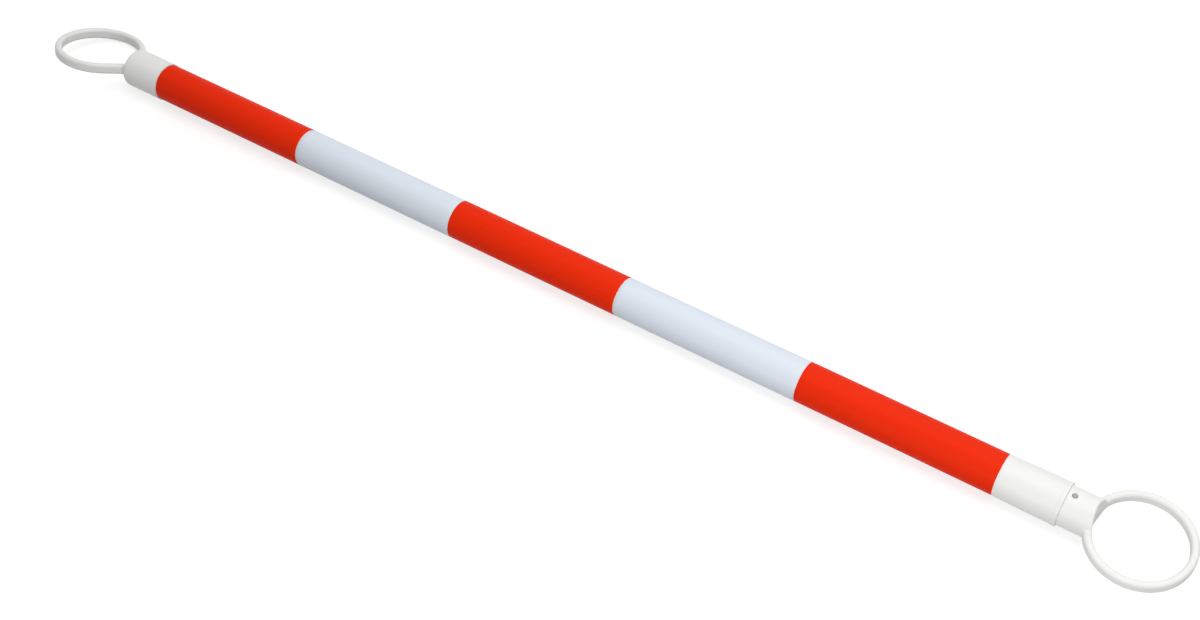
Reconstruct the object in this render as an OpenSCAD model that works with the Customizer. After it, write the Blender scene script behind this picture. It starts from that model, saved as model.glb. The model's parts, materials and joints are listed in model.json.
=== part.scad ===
// Telescopic cone bar, pushed in and lying on the plane z = 0.
// A striped outer tube carries a ring cap at its -X end. An inner tube draws out of its mouth along +X and
// swivels, with a ring cap of its own. Each ring drops over the top of a traffic cone.
// Lengths are in millimetres and angles in degrees.

/* [Outer tube] */
// Outside diameter of the outer tube
tube_od = 34; // [30:0.5:42]
// Wall of the outer tube
tube_wall = 1.5; // [1:0.1:2.5]
// Bare line left between the tape and the caps on either side of it
bare_line = 0.5; // [0.2:0.1:20]

/* [Reflective bands] */
// Length of one band along the tube
band_len = 170; // [80:1:250]
// Thickness of the tape
tape_t = 0.25; // [0.15:0.05:0.5]
// Bare line left between neighbouring bands
band_gap = 0.4; // [0.1:0.1:2]
// Lap of a band over its own start, measured around the tube
tape_lap = 8; // [4:0.5:20]
// Direction of the lap, turned from straight up towards +Y
lap_turn = 118; // [60:1:160]

/* [Mouth collar] */
// Length of the collar
collar_len = 50.5; // [40:0.5:80]
// Wall of the collar over the tube
collar_wall = 0.8; // [0.6:0.05:3]
// Wall at the thin edge of the collar's skirt, next to the tape
skirt_edge = 0.4; // [0.3:0.05:0.6]
// Length over which the skirt thickens
skirt_len = 24; // [5:0.5:30]
// Thickness of the end wall that covers the tube's mouth
collar_lip = 3; // [1.5:0.5:6]
// Width of the bead round the collar's end
bead_w = 3.5; // [1.5:0.1:6]
// Height of the bead over the collar
bead_h = 0.35; // [0.1:0.05:1]

/* [Inner tube] */
// Radial space between the two tubes, which the bushes fill
annulus = 1.5; // [1.2:0.1:3]
// Wall of the inner tube
inner_wall = 1.5; // [1:0.1:2.5]

/* [Rings] */
// Diameter of the hole that goes over a cone's top
ring_bore_d = 71.5; // [56:0.5:100]
// Width of the ring's section, outwards from the hole
ring_w = 6.2; // [4:0.1:12]
// Height of the ring's section, along the hole
ring_h = 9.5; // [7:0.5:16]
// Rounding of the section's corners
ring_corner = 1.9; // [0.5:0.1:1.9]
// Angle between the two rings as the bar lies
ring_twist = 21.5; // [0:0.1:60]

/* [Fixed cap] */
// Distance from the ring's hole to the flat end of the barrel, which the ring's arms bridge
fixed_neck = 10; // [8:0.5:20]
// Angle from the bar's axis at which the arms leave the ring, straight for the barrel's end
arm_turn = 42; // [35:1:43]
// Length of the barrel
fixed_barrel = 42; // [38:0.5:80]
// Rounding of the barrel's end
fixed_round = 2; // [0.5:0.1:4]
// Wall of the barrel over the outer tube
fixed_wall = 0.9; // [0.6:0.05:3]
// Depth of the socket that takes the outer tube
fixed_socket = 30; // [20:0.5:38]
// Thickness of the barrel's solid end
cap_end = 6; // [4:0.5:10]
// Width of the ledge that the outer tube stops against
ledge = 3; // [1.5:0.1:6]

/* [Sliding cap] */
// Distance from the ring's hole to the barrel's end, which is hollowed to the same curve
sliding_neck = 0.3; // [0.2:0.1:3]
// Length of the barrel along its axis
sliding_barrel = 23.2; // [20:0.1:60]
// Wall of the barrel over the inner tube
cap_wall = 2.5; // [1.5:0.1:4]
// Depth of the socket that takes the inner tube
socket_depth = 15.5; // [10:0.5:17]

/* [Fixing pins] */
// Diameter of a fixing pin
pin_d = 4.2; // [3:0.1:6]
// Distance from a cap's rim to its pin
rim_to_pin = 5.1; // [4:0.1:9]
// Height of the sliding cap's pin above the outer face
pin_rise = 1; // [0:0.1:1.2]
// Depth of the fixed cap's pin under the outer face
fixed_pin_sink = 0.4; // [0:0.1:0.6]

/* [Slide] */
// Length of the guide bush in the mouth
guide_len = 25; // [15:1:60]
// Length of the slide bush on the inner tube's tail
slide_bush_len = 22; // [12:1:50]
// Length of the stop ring
stop_len = 6; // [3:0.5:15]
// Thickness of the tail plug's flange
flange_t = 3; // [1.5:0.5:6]
// Length of the tail plug inside the inner tube
plug_len = 18; // [8:1:40]
// Wall of the tail plug's shank
plug_wall = 2.4; // [1.2:0.1:4]
// Free space behind the tail plug when the bar is pushed in
tail_gap = 2; // [1:0.5:20]

/* [Clearances] */
// Radial clearance of a piece that slides or turns in another
run_gap = 0.1; // [0.05:0.05:0.15]
// Radial clearance of a piece that is glued or pressed in place
seat_gap = 0.05; // [0.02:0.01:0.1]
// Gap between end faces of pieces that move apart
face_gap = 0.1; // [0.05:0.05:1]
// Radial clearance of the collar's end wall round the inner tube
lip_gap = 0.45; // [0.2:0.05:0.8]

/* [Hidden] */

$fn = 96;

// Small sizes that several pieces share
overrun = 1;
edge = 0.4;
bush_relief = 0.3;
band_count = 5;
sink = 0.5;
relief_share = 1 / 3;

// Radii of the tubes and of what fits them
tube_r = tube_od / 2;
tube_bore_r = tube_r - tube_wall;
inner_r = tube_bore_r - annulus;
inner_bore_r = inner_r - inner_wall;
tape_r = tube_r + seat_gap;
collar_r = tube_r + seat_gap + collar_wall;
bead_r = collar_r + bead_h;
fixed_socket_r = tube_r + seat_gap;
fixed_r = fixed_socket_r + fixed_wall;
core_r = tube_r - ledge;
guide_r = tube_bore_r - seat_gap;
cap_r = inner_r + seat_gap + cap_wall;
socket_r = inner_r + seat_gap;
flange_r = tube_bore_r - run_gap - edge;
pin_r = pin_d / 2;
pin_hole_r = pin_r + seat_gap;

// Radii of the rings
bore_r = ring_bore_d / 2;
ring_r = bore_r + ring_w;
barrel_x = bore_r + fixed_neck;
flat_r = fixed_r - fixed_round;
arm_fillet_r = (flat_r * sin(arm_turn) + barrel_x * cos(arm_turn) - ring_r) / (1 + cos(arm_turn));

// Stations along the bar, measured from the centre of the fixed ring
fixed_rim_x = barrel_x + fixed_barrel;
tube_x = fixed_rim_x - fixed_socket;
band_x = fixed_rim_x + bare_line;
collar_x = band_x + band_count * band_len + bare_line;
mouth_x = collar_x + collar_len;
tube_end_x = mouth_x - collar_lip;
tube_len = tube_end_x - tube_x;
guide_x = tube_end_x - guide_len;
rim_x = mouth_x + face_gap;
sliding_x = rim_x + sliding_barrel + sliding_neck + bore_r;
plug_x = tube_x + tail_gap;
inner_x = plug_x + flange_t;
inner_len = rim_x + socket_depth - seat_gap - inner_x;
bush_x = inner_x + face_gap;
stop_x = bush_x + slide_bush_len + face_gap;
sliding_pin_x = rim_x + rim_to_pin;
fixed_pin_x = fixed_rim_x - rim_to_pin;
mid_x = sliding_x / 2;

// The bar lies on the collar's bead, and the fixed ring is turned until its far side touches the same plane
axis_z = bead_r;
roll_reach = ring_r - ring_corner;
roll_rise = ring_h / 2 - ring_corner;
fixed_roll = asin((axis_z - ring_corner) / norm([roll_reach, roll_rise])) - atan2(roll_rise, roll_reach);
sliding_roll = ring_twist - fixed_roll;

// Sets a shape that is turned about Z onto the bar's axis, with its base at station x
module at_x(x) {
    translate([x - mid_x, 0, axis_z])
        rotate([0, 90, 0])
            children();
}

// Sets a ring cap at its ring's centre; the sliding cap's barrel points the other way
module at_fixed_ring() {
    translate([-mid_x, 0, axis_z])
        rotate([-fixed_roll, 0, 0])
            children();
}

module at_sliding_ring() {
    translate([sliding_x - mid_x, 0, axis_z])
        rotate([sliding_roll, 0, 0])
            rotate([0, 0, 180])
                children();
}

// A plain tube or bush with chamfered edges, as a profile of radius and height
function bush_profile(inside_r, outside_r, length, chamfer) = [
    [inside_r + chamfer, 0],
    [outside_r - chamfer, 0],
    [outside_r, chamfer],
    [outside_r, length - chamfer],
    [outside_r - chamfer, length],
    [inside_r + chamfer, length],
    [inside_r, length - chamfer],
    [inside_r, chamfer]
];

module bush(inside_r, outside_r, length, chamfer) {
    rotate_extrude()
        polygon(bush_profile(inside_r, outside_r, length, chamfer));
}

// A fixing pin from one distance to another along Z, blunt at both ends
module pin(low, high) {
    translate([0, 0, low])
        rotate_extrude()
            polygon([
                [0, 0],
                [pin_r - edge, 0],
                [pin_r, edge],
                [pin_r, high - low - edge],
                [pin_r - edge, high - low],
                [0, high - low]
            ]);
}

// The hole for a pin, from the axis out past a wall of the given radius
module pin_hole(wall_r) {
    cylinder(r = pin_hole_r, h = wall_r + overrun);
}

// The ring's section, a rectangle with round corners
module ring_section() {
    square([ring_w, ring_h - 2 * ring_corner], center = true);
    square([ring_w - 2 * ring_corner, ring_h], center = true);
    for (across = [-1, 1], up = [-1, 1])
        translate([across * (ring_w / 2 - ring_corner), up * (ring_h / 2 - ring_corner)])
            circle(r = ring_corner);
}

// A barrel's outside as a profile of radius and station, with a round edge at its closed end
module barrel_profile(outside_r, end_at, rim_at, round_r) {
    polygon([
        [0, end_at],
        [outside_r - round_r, end_at],
        [outside_r - round_r, end_at + round_r],
        [outside_r, end_at + round_r],
        [outside_r, rim_at - edge],
        [outside_r - edge, rim_at],
        [0, rim_at]
    ]);
    translate([outside_r - round_r, end_at + round_r])
        circle(r = round_r);
}

module barrel(outside_r, end_at, rim_at, round_r) {
    rotate([0, 90, 0])
        rotate_extrude()
            barrel_profile(outside_r, end_at, rim_at, round_r);
}

// A ring's section swept round its hole through part of a turn or all of it
module ring(turn) {
    rotate_extrude(angle = turn)
        translate([bore_r + ring_w / 2, 0])
            ring_section();
}

// The two straight arms that carry on from the fixed ring and end inside the barrel
module ring_arms() {
    arm_len = (barrel_x + sink - bore_r * cos(arm_turn)) / sin(arm_turn);
    for (side = [0, 1])
        mirror([0, side, 0])
            rotate([0, 0, arm_turn])
                translate([bore_r + ring_w / 2, 0, 0])
                    rotate([90, 0, 0])
                        linear_extrude(height = arm_len)
                            ring_section();
}

// A web in each corner between an arm and the barrel's end, hollowed to a fillet that runs out at the edge of
// the barrel's flat
module arm_fillets() {
    across = [cos(arm_turn), sin(arm_turn)];
    centre = [barrel_x - arm_fillet_r, flat_r];
    root_x = barrel_x + sink;
    root = [root_x, (ring_r - sink - root_x * across[0]) / across[1]];
    for (side = [0, 1])
        mirror([0, side, 0])
            linear_extrude(height = ring_h - 2 * ring_corner + 2 * sink, center = true)
                difference() {
                    polygon([centre - (arm_fillet_r + sink) * across, centre, [root_x, flat_r], root]);
                    translate(centre)
                        circle(r = arm_fillet_r);
                }
}

module outer_tube() {
    color("whitesmoke")
        difference() {
            at_x(tube_x)
                bush(tube_bore_r, tube_r, tube_len, edge);
            at_fixed_ring()
                translate([fixed_pin_x, 0, 0])
                    rotate([180, 0, 0])
                        pin_hole(tube_r);
        }
}

// One wrapped band, counted from the fixed cap, with its end lapped over its start
module tape_band(place) {
    length = band_len - band_gap;
    lap_r = tape_r + 2 * tape_t;
    lap_angle = tape_lap / tape_r * 180 / PI;
    at_x(band_x + place * band_len + band_gap / 2) {
        bush(tape_r, tape_r + tape_t, length, 0);
        rotate([0, 0, 180 - lap_turn])
            rotate_extrude(angle = lap_angle)
                translate([tape_r + tape_t / 2, 0])
                    square([lap_r - tape_r - tape_t / 2, length]);
    }
}

module red_tape(place) {
    color("orangered")
        tape_band(place);
}

module white_tape(place) {
    color("lavender")
        tape_band(place);
}

module fixed_ring_cap() {
    color("white")
        at_fixed_ring()
            difference() {
                union() {
                    barrel(fixed_r, barrel_x, fixed_rim_x, fixed_round);
                    rotate([0, 0, arm_turn])
                        ring(360 - 2 * arm_turn);
                    ring_arms();
                    arm_fillets();
                }
                rotate([0, 90, 0]) {
                    translate([0, 0, tube_x])
                        cylinder(r = fixed_socket_r, h = fixed_socket + overrun);
                    translate([0, 0, barrel_x + cap_end])
                        cylinder(r = core_r, h = tube_x - barrel_x);
                }
                translate([fixed_pin_x, 0, 0])
                    rotate([180, 0, 0])
                        pin_hole(fixed_r);
            }
}

module fixed_cap_pin() {
    color("silver")
        at_fixed_ring()
            translate([fixed_pin_x, 0, 0])
                rotate([180, 0, 0])
                    pin(tube_bore_r, fixed_r - fixed_pin_sink);
}

module mouth_collar() {
    sleeve_r = tube_r + seat_gap;
    lip_r = inner_r + lip_gap;
    color("white")
        at_x(collar_x)
            rotate_extrude()
                polygon([
                    [sleeve_r, 0],
                    [sleeve_r + skirt_edge, 0],
                    [collar_r, skirt_len],
                    [collar_r, collar_len - bead_w],
                    [bead_r, collar_len - bead_w + bead_h],
                    [bead_r, collar_len - edge],
                    [bead_r - edge, collar_len],
                    [lip_r + edge, collar_len],
                    [lip_r, collar_len - edge],
                    [lip_r, collar_len - collar_lip],
                    [sleeve_r, collar_len - collar_lip]
                ]);
}

// The guide bush bears on the inner tube at its two ends and is relieved between them
module guide_bush() {
    bearing_r = inner_r + run_gap;
    color("ivory")
        at_x(guide_x)
            difference() {
                bush(bearing_r, guide_r, guide_len, edge);
                translate([0, 0, guide_len * relief_share])
                    cylinder(r = bearing_r + bush_relief, h = guide_len * relief_share);
            }
}

// The slide bush bears on the outer tube at its two ends and is relieved between them
module slide_bush() {
    bearing_r = tube_bore_r - run_gap;
    color("ivory")
        at_x(bush_x)
            difference() {
                bush(inner_r + run_gap, bearing_r, slide_bush_len, edge);
                translate([0, 0, slide_bush_len * relief_share])
                    difference() {
                        cylinder(r = tube_bore_r, h = slide_bush_len * relief_share);
                        translate([0, 0, -overrun])
                            cylinder(r = bearing_r - bush_relief, h = slide_bush_len + overrun);
                    }
            }
}

module inner_tube() {
    color("whitesmoke")
        difference() {
            at_x(inner_x)
                bush(inner_bore_r, inner_r, inner_len, edge);
            at_sliding_ring()
                translate([sliding_x - sliding_pin_x, 0, 0])
                    pin_hole(inner_r);
        }
}

module stop_ring() {
    color("ivory")
        at_x(stop_x)
            bush(inner_r + seat_gap, flange_r, stop_len, edge);
}

// The tail plug's flange keeps the slide bush on the tube, and its hollow shank fills the tube's bore
module tail_plug() {
    shank_r = inner_bore_r - seat_gap;
    color("ivory")
        at_x(plug_x)
            rotate_extrude()
                polygon([
                    [0, 0],
                    [flange_r - edge, 0],
                    [flange_r, edge],
                    [flange_r, flange_t],
                    [shank_r, flange_t],
                    [shank_r, flange_t + plug_len - edge],
                    [shank_r - edge, flange_t + plug_len],
                    [shank_r - plug_wall, flange_t + plug_len],
                    [shank_r - plug_wall, flange_t],
                    [0, flange_t]
                ]);
}

// The sliding cap's ring passes through the end of its barrel, which is hollowed round the ring's hole.
// The barrel's socket has a chamfered mouth
module sliding_ring_cap() {
    hollow_r = bore_r + sliding_neck;
    rim_at = hollow_r + sliding_barrel;
    color("white")
        at_sliding_ring()
            difference() {
                union() {
                    difference() {
                        barrel(cap_r, 0, rim_at, edge);
                        cylinder(r = hollow_r, h = 2 * (cap_r + overrun), center = true);
                    }
                    ring(360);
                }
                rotate([0, 90, 0])
                    rotate_extrude()
                        polygon([
                            [0, rim_at - socket_depth],
                            [socket_r, rim_at - socket_depth],
                            [socket_r, rim_at - edge],
                            [socket_r + edge + overrun, rim_at + overrun],
                            [0, rim_at + overrun]
                        ]);
                translate([sliding_x - sliding_pin_x, 0, 0])
                    pin_hole(cap_r);
            }
}

module sliding_cap_pin() {
    color("silver")
        at_sliding_ring()
            translate([sliding_x - sliding_pin_x, 0, 0])
                pin(inner_bore_r, cap_r + pin_rise);
}

outer_tube();
red_tape(0);  // red_tape_1
white_tape(1);  // white_tape_1
red_tape(2);  // red_tape_2
white_tape(3);  // white_tape_2
red_tape(4);  // red_tape_3
fixed_ring_cap();
fixed_cap_pin();
mouth_collar();
guide_bush();
slide_bush();
inner_tube();
stop_ring();
tail_plug();
sliding_ring_cap();
sliding_cap_pin();
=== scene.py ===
"""Looks of the telescopic cone bar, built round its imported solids."""

import json
import math

import bpy
import numpy as np
from mathutils import Matrix, Vector

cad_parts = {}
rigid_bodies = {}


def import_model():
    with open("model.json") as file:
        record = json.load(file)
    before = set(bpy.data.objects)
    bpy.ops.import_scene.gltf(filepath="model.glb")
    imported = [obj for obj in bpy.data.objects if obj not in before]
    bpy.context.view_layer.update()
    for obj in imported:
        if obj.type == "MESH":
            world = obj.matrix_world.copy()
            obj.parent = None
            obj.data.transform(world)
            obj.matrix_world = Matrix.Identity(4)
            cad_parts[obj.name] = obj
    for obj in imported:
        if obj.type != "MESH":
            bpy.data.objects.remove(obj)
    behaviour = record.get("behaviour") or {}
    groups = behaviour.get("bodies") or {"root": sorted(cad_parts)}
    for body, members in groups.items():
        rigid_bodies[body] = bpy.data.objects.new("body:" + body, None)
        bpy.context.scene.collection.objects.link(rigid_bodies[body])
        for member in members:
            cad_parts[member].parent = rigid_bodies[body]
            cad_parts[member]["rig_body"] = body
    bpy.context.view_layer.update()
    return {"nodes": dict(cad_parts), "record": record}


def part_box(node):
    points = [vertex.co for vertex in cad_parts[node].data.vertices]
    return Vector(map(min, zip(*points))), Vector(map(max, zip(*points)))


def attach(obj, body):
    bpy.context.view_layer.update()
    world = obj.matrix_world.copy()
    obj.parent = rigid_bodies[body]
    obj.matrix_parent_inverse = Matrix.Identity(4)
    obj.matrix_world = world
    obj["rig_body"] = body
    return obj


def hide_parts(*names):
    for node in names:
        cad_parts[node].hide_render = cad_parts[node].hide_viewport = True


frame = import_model()
nodes, record = frame["nodes"], frame["record"]
mounts = {m["name"]: m for m in record["mounts"]}

# Sizes, in millimetres, and turns, in degrees
MM = 0.001
AXIS_Z = mounts["fixed_ring_bore"]["pos_m"][2] / MM
BORE_R = mounts["fixed_ring_bore"]["dims"]["r_mm"]

# Tubes
TUBE_R, TUBE_BORE_R = 17.0, 15.5
INNER_R, INNER_BORE_R = 14.0, 12.5

# Tape, wound once round the tube
TAPE_R, TAPE_T = 17.05, 0.25
LAP_LEN, LAP_TURN = 8.0, 62.0       # lap's length, and the turn from straight down to +Y where it starts
CLIMB_LEN = 3.0                     # length over which the tape climbs onto its own start
CUT_WANDER = 0.06                   # a cut edge keeps within twice this of its band's end
CUT_WAVES = 5, 13                   # ripples of a cut edge in one turn, the first twice as high
CUT_LEFT = 0.7                      # share of the thickness that is left at a cut edge

# Collar
COLLAR_R, BEAD_R, SKIRT_R, LIP_R = 17.85, 18.2, 17.45, 14.45
SKIRT_LEN, BEAD_W, BEAD_H, LIP_LEN = 24.0, 3.5, 0.35, 3.0
SKIRT_EDGE, SKIRT_BLEND = 0.25, 20.0

# Rings, and the ejector marks on their lower faces
RING_W, RING_H, RING_CORNER = 6.2, 9.8, 2.6
RING_R = BORE_R + RING_W / 2
MARK_R, MARK_DEPTH, MARK_EDGE = 1.5, 0.25, 0.3
FIXED_MARKS = 70, 115, 160, 200, 245, 290
SLIDING_MARKS = 50, 90, 135, 180, 225, 270, 310

# Caps; a rim's place is measured from its ring's centre
FIXED_R, FIXED_NECK, FIXED_BARREL, FIXED_ROUND = 17.95, 10.0, 42.0, 4.0
FIXED_SOCKET, CAP_END, CORE_R, ARM_TURN = 30.0, 6.0, 14.0, 42.0
FIXED_RIM = BORE_R + FIXED_NECK + FIXED_BARREL
SLIDING_R, SLIDING_NECK, SLIDING_BARREL = 16.55, 0.3, 23.2
SOCKET_R, SOCKET_DEPTH = 14.05, 15.5
SLIDING_RIM = BORE_R + SLIDING_NECK + SLIDING_BARREL
RIM_EDGE, RIM_CLOSE = 0.1, 0.07     # rims' rounding, and the sliding rim's reach past its solid
ARM_SINK = 0.5                      # how far the fixed ring's arms run into the barrel
FILLET, CREASE = 5.0, 1.6           # blends of arm to barrel, and of ring to barrel
CUT_EDGE, HOLLOW_EDGE = 0.5, 1.6    # blends of cut edges, and of the sliding barrel's hollowed end

# Pins
PIN_R, PIN_GAP, RIM_TO_PIN = 2.1, 0.05, 5.1
PIN_RISE, FIXED_PIN_SINK = 1.0, 0.4

# Meshes
EDGE = 0.4                          # rounding or chamfer of a plain edge
SHARP_TURN = 40.0                   # an edge that turns by more than this is drawn sharp
STRAIGHT_HALF = 89.5                # half the angle of a corner that counts as straight
TURN_STEPS, PIN_STEPS = 128, 48     # steps round the bar's axis, and round a pin's
ARC_POINTS, TUBE_ARC_POINTS, DOME_POINTS = 5, 4, 9
TAPE_POINTS = 236                   # points along a strip of tape
TAPE_SHARES = np.array([0, 0.0006, 0.02, 0.15, 0.5, 0.85, 0.98, 0.9994, 1])     # points across it

# Nets that the two caps are drawn from
NET_PITCH, NET_MARGIN = 0.5, 1.0    # a cell's size, and the room round a cap
NET_CLEAR = 0.05                    # a plane of the net runs this far below the ring and its marks
PROBE, NORMAL_PROBE = 0.02, 0.15    # steps that slopes are taken over
HOLD, LEAST_STEEP = 0.05, 0.25      # a point's hold on the middle of its cuts, and the least slope squared
SETTLE_STEPS = 2                    # moves of a point onto the surface


# Mesh helpers
def add_piece(name, points, faces, finish, stands_for, slot, place=None, normals=None):
    """A smooth mesh of points in millimetres, which stands for a CAD node and rides on its body. The place,
    where there is one, takes the points and normals from a cap's own frame to the row frame."""
    points = np.asarray(points) * MM
    if place is not None:
        turn = np.array(place.to_3x3())
        points = points @ turn.T + np.array(place.translation)
        normals = None if normals is None else normals @ turn.T
    mesh = bpy.data.meshes.new(name)
    mesh.from_pydata(points.tolist(), [], faces)
    mesh.validate()
    mesh.shade_smooth()
    if normals is None:
        mesh.set_sharp_from_angle(angle=math.radians(SHARP_TURN))
    else:
        mesh.normals_split_custom_set_from_vertices(normals.tolist())
    mesh.materials.append(finish)
    piece = bpy.data.objects.new(name, mesh)
    bpy.context.scene.collection.objects.link(piece)
    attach(piece, nodes[stands_for]["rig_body"])
    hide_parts(stands_for)


def rounded(corners, arc_points=ARC_POINTS):
    """A closed profile from corners of (station, radius, rounding), with an arc at each rounding."""
    out = []
    for i, (a, b, rounding) in enumerate(corners):
        here = np.array([a, b])
        back = np.array(corners[i - 1][:2]) - here
        on = np.array(corners[(i + 1) % len(corners)][:2]) - here
        back, on = back / np.linalg.norm(back), on / np.linalg.norm(on)
        half = math.acos(np.clip(back @ on, -1, 1)) / 2
        if not rounding or half > math.radians(STRAIGHT_HALF):
            out.append(here)
            continue
        middle = (back + on) / np.linalg.norm(back + on)
        centre = here + middle * rounding / math.sin(half)
        start, end = here + back * rounding / math.tan(half), here + on * rounding / math.tan(half)
        a0, a1 = (math.atan2(*(p - centre)[::-1]) for p in (start, end))
        swing = (a1 - a0 + math.pi) % (2 * math.pi) - math.pi
        out += [centre + rounding * np.array([math.cos(a0 + swing * s), math.sin(a0 + swing * s)])
                for s in np.linspace(0, 1, arc_points)]
    return np.array(out)


def lathe(profile):
    """Points and faces of a closed profile of (station, radius), turned round the bar's axis."""
    turn = np.linspace(0, 2 * math.pi, TURN_STEPS, endpoint=False)
    count = len(profile)
    points = [(x, r * math.sin(t), AXIS_Z + r * math.cos(t)) for t in turn for x, r in profile]
    faces = [
        (a + i, a + (i + 1) % count, b + (i + 1) % count, b + i)
        for a, b in ((s * count, (s + 1) % TURN_STEPS * count) for s in range(TURN_STEPS))
        for i in range(count)
    ]
    return points, faces


def turned(profile):
    """Points and faces of a profile of (radius, height), from the Z axis back to it, turned round it."""
    middle, count = profile[1:-1], len(profile) - 2
    points = [(0, 0, profile[0][1]), (0, 0, profile[-1][1])]
    for t in np.linspace(0, 2 * math.pi, PIN_STEPS, endpoint=False):
        points += [(r * math.cos(t), r * math.sin(t), h) for r, h in middle]
    faces = []
    for s in range(PIN_STEPS):
        a, b = 2 + s * count, 2 + (s + 1) % PIN_STEPS * count
        faces += [(0, b, a), (1, a + count - 1, b + count - 1)]
        faces += [(a + i, b + i, b + i + 1, a + i + 1) for i in range(count - 1)]
    return points, faces


def wrapped_tape(low, high, seed):
    """Points and faces of a strip of tape wound once round the tube, with its end lapped over its start."""
    wave = np.random.default_rng(seed).uniform(0, 2 * math.pi, 4)
    slow, fast = CUT_WAVES
    angles = np.linspace(0, 2 * math.pi + LAP_LEN / TAPE_R, TAPE_POINTS)
    climb = np.clip((angles - 2 * math.pi) * TAPE_R / CLIMB_LEN + 1, 0, 1)
    lift = TAPE_T * climb * climb * (3 - 2 * climb)
    across, row = len(TAPE_SHARES), 2 * len(TAPE_SHARES)
    points = []
    for k, (angle, up) in enumerate(zip(angles, lift)):
        ripple = (2 * np.sin(slow * angle + wave[:2]) + np.sin(fast * angle + wave[2:])) / 3
        start, end = low + CUT_WANDER * (1 + ripple[0]), high - CUT_WANDER * (1 - ripple[1])
        turn = math.radians(LAP_TURN) + angle
        for layer in (0, 1):
            for j, share in enumerate(TAPE_SHARES):
                at_cut = j in (0, across - 1) or k in (0, len(angles) - 1)
                r = TAPE_R + up + layer * (TAPE_T * (CUT_LEFT if at_cut else 1))
                x = start + share * (end - start)
                points.append((x, r * math.sin(turn), AXIS_Z - r * math.cos(turn)))
    faces = []
    for k in range(len(angles) - 1):
        a, b = (k + 1) * row, k * row
        for j in range(across - 1):
            faces.append((a + j, b + j, b + j + 1, a + j + 1))
            faces.append((a + across + j, a + across + j + 1, b + across + j + 1, b + across + j))
        faces.append((a, a + across, b + across, b))
        faces.append((a + across - 1, b + across - 1, b + row - 1, a + row - 1))
    for k, flip in ((0, True), (len(angles) - 1, False)):
        for j in range(across - 1):
            a = k * row + j
            quad = (a, a + 1, a + across + 1, a + across)
            faces.append(quad[::-1] if flip else quad)
    return points, faces


# Solid fields, negative inside
def round_box(a, b, half_a, half_b, rounding):
    """Distance in a plane to a rectangle with round corners."""
    qa, qb = np.abs(a) - half_a + rounding, np.abs(b) - half_b + rounding
    return np.hypot(np.maximum(qa, 0), np.maximum(qb, 0)) + np.minimum(np.maximum(qa, qb), 0) - rounding


def joined(a, b, blend):
    """Two solids joined with a soft blend between them."""
    near = np.maximum(blend - np.abs(a - b), 0) / blend
    return np.minimum(a, b) - near * near * blend / 4


def filleted(a, b, radius):
    """Two solids joined with a true round fillet between them."""
    inside = np.hypot(np.maximum(radius - a, 0), np.maximum(radius - b, 0))
    return np.maximum(radius, np.minimum(a, b)) - inside


def cut(a, b, blend=CUT_EDGE):
    """The first solid with the second taken out of it."""
    return -joined(-a, b, blend)


def barrel(x, r, end, rim, outside, end_round):
    """A round bar from end to rim, with its own rounding at each end."""
    middle, half = (end + rim) / 2, (rim - end) / 2
    return round_box(x - middle, r, half, outside, np.where(x < middle, end_round, RIM_EDGE))


def ejector_marks(ring, x, y, z, turns):
    """A ring with the shallow round marks that the mould's ejectors leave on its lower face."""
    for turn in np.radians(turns):
        spot = np.hypot(x - RING_R * math.cos(turn), y - RING_R * math.sin(turn)) - MARK_R
        ring = cut(ring, np.maximum(spot, z + RING_H / 2 - MARK_DEPTH), MARK_EDGE)
    return ring


def fixed_cap_field(p):
    """The fixed cap about its ring's centre, with the barrel on +X. The ring runs straight, as two arms,
    from the arms' turn to the barrel."""
    x, y, z = p[..., 0], p[..., 1], p[..., 2]
    r, turn = np.hypot(y, z), math.radians(ARM_TURN)
    end, rim = BORE_R + FIXED_NECK, FIXED_RIM
    arm = x * math.cos(turn) + np.abs(y) * math.sin(turn)
    ring = np.where(np.arctan2(np.abs(y), x) > turn, np.hypot(x, y), arm)
    ring = np.maximum(round_box(ring - RING_R, z, RING_W / 2, RING_H / 2, RING_CORNER), x - end - ARM_SINK)
    ring = ejector_marks(ring, x, y, z, FIXED_MARKS)
    body = filleted(barrel(x, r, end, rim, FIXED_R, FIXED_ROUND), ring, FILLET)
    body = cut(body, np.maximum(r - TAPE_R, rim - FIXED_SOCKET - x))
    body = cut(body, np.maximum(r - CORE_R, end + CAP_END - x))
    return cut(body, np.maximum(np.hypot(x - rim + RIM_TO_PIN, y) - PIN_R - PIN_GAP, z))


def sliding_cap_field(p):
    """The sliding cap about its ring's centre, with the barrel on +X, its end hollowed round the ring's hole
    and its rim close to the collar."""
    x, y, z = p[..., 0], p[..., 1], p[..., 2]
    r, from_hole, rim = np.hypot(y, z), np.hypot(x, y), SLIDING_RIM
    ring = round_box(from_hole - RING_R, z, RING_W / 2, RING_H / 2, RING_CORNER)
    ring = ejector_marks(ring, x, y, z, SLIDING_MARKS)
    body = barrel(x, r, 0, rim + RIM_CLOSE, SLIDING_R, EDGE)
    body = joined(cut(body, from_hole - BORE_R - SLIDING_NECK, HOLLOW_EDGE), ring, CREASE)
    body = cut(body, np.maximum(r - SOCKET_R, rim - SOCKET_DEPTH - x), 2 * CUT_EDGE)
    return cut(body, np.maximum(np.hypot(x - rim + RIM_TO_PIN, y) - PIN_R - PIN_GAP, -z))


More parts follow.
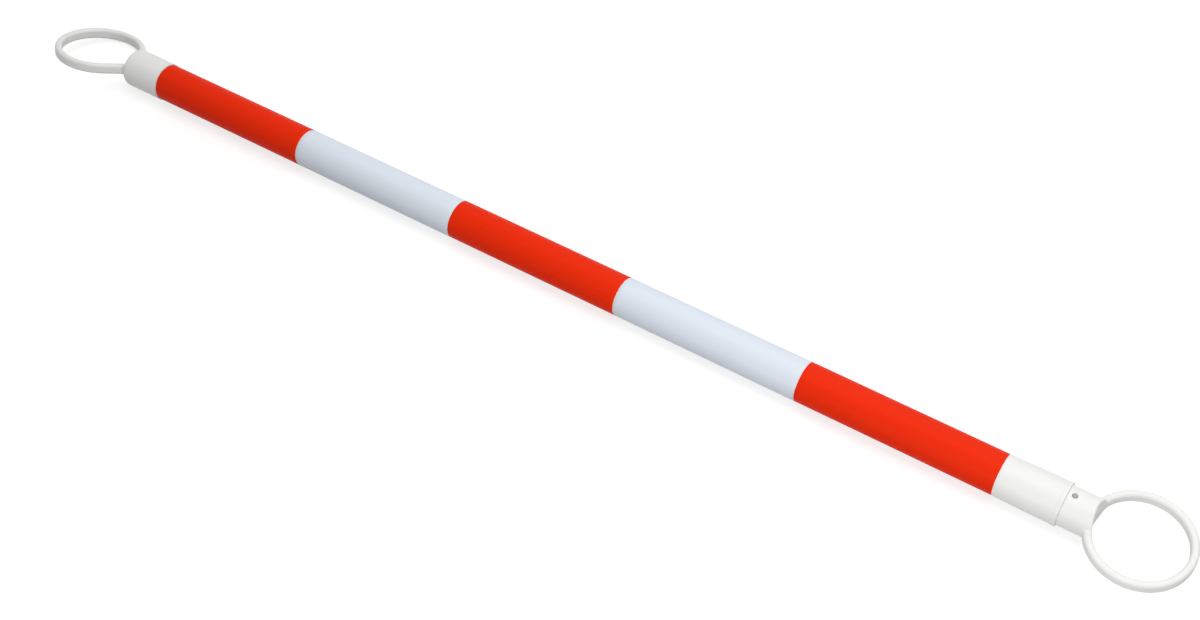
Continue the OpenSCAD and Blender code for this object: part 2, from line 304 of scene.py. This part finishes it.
def surface_net(field, low, high):
    """Points, faces and normals of the surface where a field is zero: one point in each cell it crosses,
    where the tangent planes at the cell's cut edges meet, and one face across each cut edge."""
    axes = [np.arange(a, b + NET_PITCH, NET_PITCH) for a, b in zip(low, high)]
    values = field(np.stack(np.meshgrid(*axes, indexing="ij"), -1))

    def slope(p, step):
        return np.stack([(field(p + d) - field(p - d)) / (2 * step) for d in step * np.eye(3)], -1)

    cuts, faces = [], []
    for axis in range(3):
        first, second = np.delete(values, -1, axis), np.delete(values, 0, axis)
        spots = np.argwhere((first < 0) != (second < 0))
        here, there = first[tuple(spots.T)], second[tuple(spots.T)]
        ahead, up, over = np.roll(np.eye(3, dtype=int), -axis, 0)
        cuts.append(low + NET_PITCH * (spots + ahead * (here / (here - there))[:, None]))
        cells = [spots - step for step in (up + over, over, 0 * over, up)]
        quads = np.stack([np.ravel_multi_index(cell.T, values.shape) for cell in cells], 1)
        faces.append(np.where(here[:, None] < 0, quads, quads[:, ::-1]))
    cuts = np.concatenate(cuts)
    cells, faces = np.unique(np.concatenate(faces), return_inverse=True)
    faces = faces.reshape(-1, 4)

    def gathered(amount):
        """What the cut edges of each cell add up to."""
        total = np.zeros((len(cells), *amount.shape[1:]))
        np.add.at(total, faces, amount[:, None])
        return total

    def short(move):
        """A move of at most half a cell."""
        return np.clip(move, -NET_PITCH / 2, NET_PITCH / 2)

    planes = slope(cuts, PROBE)
    planes /= np.linalg.norm(planes, axis=1)[:, None]
    points = gathered(cuts) / gathered(np.ones((len(cuts), 1)))
    square = gathered(planes[:, :, None] * planes[:, None])
    pull = gathered(planes * (planes * cuts).sum(1)[:, None]) - (square @ points[..., None])[..., 0]
    points += short(np.linalg.solve(square + HOLD * np.eye(3), pull[..., None])[..., 0])
    for _ in range(SETTLE_STEPS):
        steep = slope(points, PROBE)
        fall = field(points) / np.maximum((steep * steep).sum(1), LEAST_STEEP)
        points -= short(steep * fall[:, None])
    normals = slope(points, NORMAL_PROBE)
    return points, faces.tolist(), normals / np.linalg.norm(normals, axis=1)[:, None]


def ring_place(mount, towards):
    """The place of a ring cap: its ring's centre, its hole along Z and its barrel on +X."""
    z = Vector(mounts[mount]["axis"]).normalized()
    x = Vector((towards, 0, 0))
    y = z.cross(x)
    turn = Matrix((x, y, z)).transposed().to_4x4()
    return Matrix.Translation(mounts[mount]["pos_m"]) @ turn


# Finishes
NOISE_RANGE = 0.3, 0.7              # most of a noise lies in this range


class Finish:
    """A material of one Principled shader, with short calls for the nodes that feed it."""

    def __init__(self, name, **sockets):
        self.material = bpy.data.materials.new(name)
        self.material.use_nodes = True
        self.tree = self.material.node_tree
        self.shader = self.tree.nodes["Principled BSDF"]
        for socket, value in sockets.items():
            self.shader.inputs[socket.replace("_", " ")].default_value = value
        self.place = self.node("ShaderNodeTexCoord").outputs["Object"]

    def node(self, kind, settings=None, **sockets):
        """A new node. A socket is named by its words, or by its number after the letters in."""
        made = self.tree.nodes.new(kind)
        for key, value in (settings or {}).items():
            setattr(made, key, value)
        for socket, value in sockets.items():
            key = int(socket[2:]) if socket.startswith("in") else socket.replace("_", " ")
            self.feed(made.inputs[key], value)
        return made

    def feed(self, socket, value):
        if isinstance(value, bpy.types.NodeSocket):
            self.tree.links.new(value, socket)
        else:
            socket.default_value = value

    def stretched(self, x, y, z):
        return self.node("ShaderNodeMapping", Vector=self.place, Scale=(x, y, z)).outputs["Vector"]

    def noise(self, scale, detail=3.0, rough=0.55, vector=None):
        return self.node("ShaderNodeTexNoise", Vector=vector or self.place, Scale=scale, Detail=detail,
                         Roughness=rough).outputs["Fac"]

    def cells(self, scale):
        return self.node("ShaderNodeTexVoronoi", Vector=self.place, Scale=scale).outputs["Distance"]

    def ranged(self, value, low, high, to_low, to_high):
        made = self.node("ShaderNodeMapRange", in0=value, in1=low, in2=high, in3=to_low, in4=to_high)
        return made.outputs[0]

    def spread(self, noise, to_low, to_high):
        """A noise, spread from its usual range over another one."""
        return self.ranged(noise, *NOISE_RANGE, to_low, to_high)

    def marks(self, noise, start, full, most):
        """The peaks of a noise: nothing up to start, rising to the most at full."""
        return self.ranged(noise, start, full, 0, most)

    def math(self, operation, a, b=0.0):
        return self.node("ShaderNodeMath", {"operation": operation}, in0=a, in1=b).outputs[0]

    def vector_math(self, operation, a, b):
        return self.node("ShaderNodeVectorMath", {"operation": operation}, in0=a, in1=b).outputs

    def mixed(self, share, a, b):
        mix = self.node("ShaderNodeMix", {"data_type": "RGBA"}, in0=share, in6=a, in7=b)
        return mix.outputs[2]

    def colour(self, value):
        self.feed(self.shader.inputs["Base Color"], value)

    def roughness(self, value):
        self.feed(self.shader.inputs["Roughness"], value)

    def bump(self, *layers):
        """Layers of (height, depth in metres), the coarsest first."""
        normal = None
        for height, depth in layers:
            made = self.node("ShaderNodeBump", Height=height, Distance=depth, Strength=1.0)
            if normal is not None:
                self.feed(made.inputs["Normal"], normal)
            normal = made.outputs["Normal"]
        self.feed(self.shader.inputs["Normal"], normal)


def rgb(r, g, b):
    return (r, g, b, 1.0)


def moulding(name, mount=None):
    """Injection-moulded white plastic: faint flow marks, a fine grain, scuffs, and the mould's parting line
    in the plane of a ring."""
    f = Finish(name, Specular_IOR_Level=0.4)
    dark, light, scuffed = rgb(0.79, 0.79, 0.77), rgb(0.83, 0.83, 0.81), rgb(0.70, 0.69, 0.66)
    flow = f.noise(28, detail=2)
    handling = f.noise(140, detail=5, rough=0.7, vector=f.stretched(1, 3, 3))
    scuffs = f.marks(handling, start=0.62, full=0.74, most=0.25)
    f.colour(f.mixed(scuffs, f.mixed(flow, dark, light), scuffed))
    f.roughness(f.spread(f.noise(420), 0.38, 0.52))
    layers = [(f.noise(90, detail=1), 0.04 * MM), (f.noise(2600, detail=2), 0.012 * MM)]
    if mount:
        offset = f.vector_math("SUBTRACT", f.place, mounts[mount]["pos_m"])["Vector"]
        height = f.vector_math("DOT_PRODUCT", offset, mounts[mount]["axis"])["Value"]
        line = f.ranged(f.math("ABSOLUTE", height), 0.05 * MM, 0.22 * MM, 1, 0)
        layers.append((line, 0.08 * MM))
    f.bump(*layers)
    return f.material


def film(name, dark, light, worn):
    """Reflective film: tiny glass beads under a smooth face, with fine rubbing marks along the bar."""
    f = Finish(name, Specular_IOR_Level=0.05)
    beads = f.cells(5200)
    streaks = f.noise(60, detail=4, rough=0.6, vector=f.stretched(0.25, 6, 6))
    handling = f.noise(240, detail=5, rough=0.75, vector=f.stretched(0.12, 4, 4))
    rubs = f.marks(handling, start=0.66, full=0.8, most=0.22)
    tint = f.math("ADD", f.math("MULTIPLY", beads, 0.5), f.math("MULTIPLY", streaks, 0.6))
    f.colour(f.mixed(rubs, f.mixed(tint, dark, light), worn))
    f.roughness(f.spread(streaks, 0.4, 0.55))
    f.bump((f.noise(150, detail=2), 0.03 * MM), (beads, 0.012 * MM))
    return f.material


def extruded(name):
    """Extruded white tube: draw lines along it and the rub marks of sliding."""
    f = Finish(name, Specular_IOR_Level=0.4)
    dark, light, rubbed = rgb(0.79, 0.79, 0.78), rgb(0.83, 0.83, 0.82), rgb(0.66, 0.66, 0.65)
    lines = f.noise(900, rough=0.6, vector=f.stretched(0.004, 1, 1))
    sliding = f.noise(300, detail=5, rough=0.7, vector=f.stretched(0.05, 1, 1))
    rubs = f.marks(sliding, start=0.6, full=0.75, most=0.3)
    f.colour(f.mixed(rubs, f.mixed(lines, dark, light), rubbed))
    f.roughness(f.spread(lines, 0.34, 0.5))
    f.bump((lines, 0.03 * MM), (f.noise(2400, detail=2), 0.008 * MM))
    return f.material


def nylon(name):
    """Natural nylon, turned: fine rings round the axis on a slightly mottled, waxy ground."""
    f = Finish(name, Specular_IOR_Level=0.35)
    rings = f.noise(2200, detail=2, rough=0.5, vector=f.stretched(1, 0.02, 0.02))
    f.colour(f.mixed(f.noise(120), rgb(0.74, 0.71, 0.62), rgb(0.82, 0.80, 0.72)))
    f.roughness(f.spread(rings, 0.45, 0.62))
    f.bump((rings, 0.03 * MM))
    return f.material


def steel(name):
    """Drawn steel: a fine grain on a dull, slightly stained surface."""
    f = Finish(name, Metallic=1.0)
    grain = f.noise(1800, rough=0.6, vector=f.stretched(0.1, 1, 1))
    f.colour(f.mixed(f.noise(520, detail=4), rgb(0.34, 0.34, 0.34), rgb(0.42, 0.42, 0.41)))
    f.roughness(f.spread(grain, 0.72, 0.9))
    f.bump((grain, 0.02 * MM))
    return f.material


fixed_finish = moulding("moulded_fixed_cap", "fixed_ring_bore")
sliding_finish = moulding("moulded_sliding_cap", "sliding_ring_bore")
collar_finish = moulding("moulded_collar")
tube_finish = extruded("extruded_tube")
nylon_finish = nylon("turned_nylon")
steel_finish = steel("drawn_steel")
red_finish = film("red_film", rgb(0.76, 0.020, 0.002), rgb(0.86, 0.030, 0.003), rgb(0.70, 0.06, 0.03))
white_finish = film("white_film", rgb(0.69, 0.745, 0.82), rgb(0.74, 0.795, 0.87), rgb(0.58, 0.61, 0.65))

for name in ("guide_bush", "slide_bush", "stop_ring", "tail_plug"):
    nodes[name].data.materials.clear()
    nodes[name].data.materials.append(nylon_finish)


# Pieces
def span(node):
    """Where a CAD node starts and ends along the bar, in millimetres."""
    low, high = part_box(node)
    return low.x / MM, high.x / MM


def tube(name, node, outside, bore):
    """A tube as long as its node, with rounded edges."""
    low, high = span(node)
    corners = [(x, r, EDGE) for x, r in ((low, bore), (low, outside), (high, outside), (high, bore))]
    add_piece(name, *lathe(rounded(corners, TUBE_ARC_POINTS)), tube_finish, node, "white_tube")


def cap(name, node, mount, towards, field, rim, outside, finish):
    """A ring cap, drawn from its field."""
    reach = RING_R + RING_W / 2 + NET_MARGIN
    clear = RING_H / 2 + NET_CLEAR
    depth = clear + NET_PITCH * math.ceil((outside + NET_MARGIN - clear) / NET_PITCH)
    low, high = (-reach, -reach, -depth), (rim + NET_MARGIN, reach, depth)
    points, faces, normals = surface_net(field, low, high)
    add_piece(name, points, faces, finish, node, "white_moulding", ring_place(mount, towards), normals)


def pin(name, node, mount, towards, station, low, high, dome, side):
    """A fixing pin through a cap's wall, chamfered inside and domed outside."""
    swing = np.linspace(0, math.pi / 2, DOME_POINTS)
    head = [(PIN_R * math.cos(t), high - dome + dome * math.sin(t)) for t in swing[:-1]]
    points, faces = turned([(0, low), (PIN_R - EDGE, low), (PIN_R, low + EDGE), *head, (0, high)])
    points = [(station + x, y * side, z * side) for x, y, z in points]
    add_piece(name, points, faces, steel_finish, node, "pin_steel", ring_place(mount, towards))


tube("striped_tube", "outer_tube", TUBE_R, TUBE_BORE_R)
tube("sliding_tube", "inner_tube", INNER_R, INNER_BORE_R)

for seed, (node, finish, slot) in enumerate((
    ("red_tape_1", red_finish, "red_tape"),
    ("white_tape_1", white_finish, "white_tape"),
    ("red_tape_2", red_finish, "red_tape"),
    ("white_tape_2", white_finish, "white_tape"),
    ("red_tape_3", red_finish, "red_tape"),
)):
    add_piece("band_" + node, *wrapped_tape(*span(node), seed), finish, node, slot)

start, end = span("mouth_collar")
add_piece("collar", *lathe(rounded([
    (start, TAPE_R, 0),
    (start, SKIRT_R, SKIRT_EDGE),
    (start + SKIRT_LEN, COLLAR_R, SKIRT_BLEND),
    (end - BEAD_W, COLLAR_R, EDGE),
    (end - BEAD_W + BEAD_H, BEAD_R, EDGE),
    (end, BEAD_R, EDGE),
    (end, LIP_R, EDGE),
    (end - LIP_LEN, LIP_R, 0),
    (end - LIP_LEN, TAPE_R, 0),
])), collar_finish, "mouth_collar", "white_moulding")

cap("fixed_end", "fixed_ring_cap", "fixed_ring_bore", 1, fixed_cap_field, FIXED_RIM, FIXED_R, fixed_finish)
cap("sliding_end", "sliding_ring_cap", "sliding_ring_bore", -1, sliding_cap_field, SLIDING_RIM, SLIDING_R,
    sliding_finish)

pin("fixed_pin", "fixed_cap_pin", "fixed_ring_bore", 1, FIXED_RIM - RIM_TO_PIN,
    TUBE_BORE_R, FIXED_R - FIXED_PIN_SINK, EDGE, -1)
pin("sliding_pin", "sliding_cap_pin", "sliding_ring_bore", -1, SLIDING_RIM - RIM_TO_PIN,
    INNER_BORE_R, SLIDING_R + PIN_RISE, PIN_RISE, 1)


# Stage, light and camera, in metres
def by_ray(tree, lighting, seen):
    """A strength with one value for the rays that light the object, and another for the camera, glossy and
    transmission rays that see it."""
    path = tree.nodes.new("ShaderNodeLightPath")
    sees = path.outputs["Is Camera Ray"]
    for kind in ("Is Glossy Ray", "Is Transmission Ray"):
        most = tree.nodes.new("ShaderNodeMath")
        most.operation = "MAXIMUM"
        tree.links.new(sees, most.inputs[0])
        tree.links.new(path.outputs[kind], most.inputs[1])
        sees = most.outputs[0]
    strength = tree.nodes.new("ShaderNodeMapRange")
    strength.inputs["To Min"].default_value = lighting
    strength.inputs["To Max"].default_value = seen
    tree.links.new(sees, strength.inputs["Value"])
    return strength.outputs[0]


def make_floor(half, grey, glow):
    """A square floor of pale paper, which glows only where it is seen."""
    mesh = bpy.data.meshes.new("floor")
    corners = [(x * half, y * half, 0) for x, y in ((-1, -1), (1, -1), (1, 1), (-1, 1))]
    mesh.from_pydata(corners, [], [(0, 1, 2, 3)])
    floor = bpy.data.objects.new("floor", mesh)
    bpy.context.scene.collection.objects.link(floor)
    material = bpy.data.materials.new("floor_paper")
    material.use_nodes = True
    tree = material.node_tree
    tree.nodes.clear()
    paper = tree.nodes.new("ShaderNodeBsdfDiffuse")
    paper.inputs["Color"].default_value = rgb(grey, grey, grey)
    light = tree.nodes.new("ShaderNodeEmission")
    tree.links.new(by_ray(tree, lighting=0.0, seen=glow), light.inputs["Strength"])
    both = tree.nodes.new("ShaderNodeAddShader")
    out = tree.nodes.new("ShaderNodeOutputMaterial")
    tree.links.new(paper.outputs[0], both.inputs[0])
    tree.links.new(light.outputs[0], both.inputs[1])
    tree.links.new(both.outputs[0], out.inputs["Surface"])
    mesh.materials.append(material)


def make_world(level):
    """A world that is seen as white and lights the object at its own level."""
    world = bpy.data.worlds.new("studio")
    bpy.context.scene.world = world
    world.use_nodes = True
    tree = world.node_tree
    back = tree.nodes["Background"]
    back.inputs["Color"].default_value = rgb(1, 1, 1)
    tree.links.new(by_ray(tree, lighting=level, seen=1.0), back.inputs["Strength"])


def make_light(name, place, target, size, power):
    """A soft rectangular lamp that looks at its target and isn't seen itself."""
    light = bpy.data.lights.new(name, "AREA")
    light.shape = "RECTANGLE"
    light.size, light.size_y = size
    light.energy = power
    lamp = bpy.data.objects.new(name, light)
    lamp.location = place
    lamp.visible_camera = False
    lamp.rotation_euler = (Vector(target) - Vector(place)).to_track_quat("-Z", "Y").to_euler()
    bpy.context.scene.collection.objects.link(lamp)


def make_camera(place, right, up, back, lens):
    """A camera at a place, from its three axes and its lens in millimetres."""
    camera = bpy.data.objects.new("camera", bpy.data.cameras.new("camera"))
    camera.matrix_world = Matrix.Translation(place) @ Matrix((right, up, back)).transposed().to_4x4()
    camera.data.sensor_fit = "HORIZONTAL"
    camera.data.sensor_width = 36.0
    camera.data.lens = lens
    camera.data.clip_start = 0.01
    bpy.context.scene.collection.objects.link(camera)
    bpy.context.scene.camera = camera


make_floor(half=40, grey=0.4, glow=0.72)
make_world(level=0.44)
make_light("key", place=(0.52, -0.86, 0.36), target=(0.52, 0, 0), size=(0.5, 0.5), power=3.4)
make_light("top", place=(0.42, 0.12, 1.7), target=(0.42, 0, 0), size=(1.8, 1.0), power=13)
make_light("back", place=(0.35, 1.3, 1.1), target=(0.35, 0, 0), size=(1.6, 0.6), power=8.5)
make_camera(
    place=(0.571472, -0.755936, 1.072876),
    right=(0.83947, 0.54281, -0.0255),
    up=(-0.40106, 0.65055, 0.64493),
    back=(0.36666, -0.53117, 0.76381),
    lens=49.938,
)
bpy.context.scene.view_settings.view_transform = "Standard"
